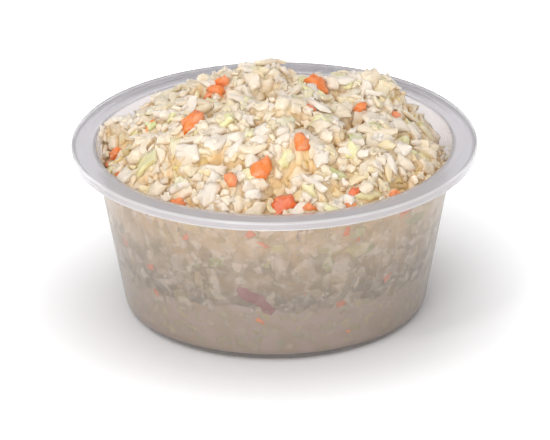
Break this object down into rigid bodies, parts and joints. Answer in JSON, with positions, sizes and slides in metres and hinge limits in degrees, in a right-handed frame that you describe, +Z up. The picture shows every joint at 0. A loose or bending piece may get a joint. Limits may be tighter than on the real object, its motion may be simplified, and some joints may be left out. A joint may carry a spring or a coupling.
{
  "type": "coleslaw in a plastic cup",
  "caption": "Chopped cabbage and carrot salad in creamy dressing, heaped over the rim of a round translucent takeaway cup with a flat lipped flange.",
  "frame": {"origin": "centre of the cup's foot, on the surface it stands on", "axes": "+Z up through the cup's axis; the cup is round, and the side seen in the picture faces -Y"},
  "size_m": [0.1, 0.1, 0.0574],
  "materials": {
    "cup": "thin moulded translucent plastic, faintly frosted",
    "dressing": "milky mayonnaise dressing, wet",
    "slaw": "finely chopped cabbage and carrot, wet and glossy with dressing"
  },
  "bodies": {
    "root": {"cup": "cup", "dressing": "dressing", "slaw": "slaw"}
  },
  "joints": []
}
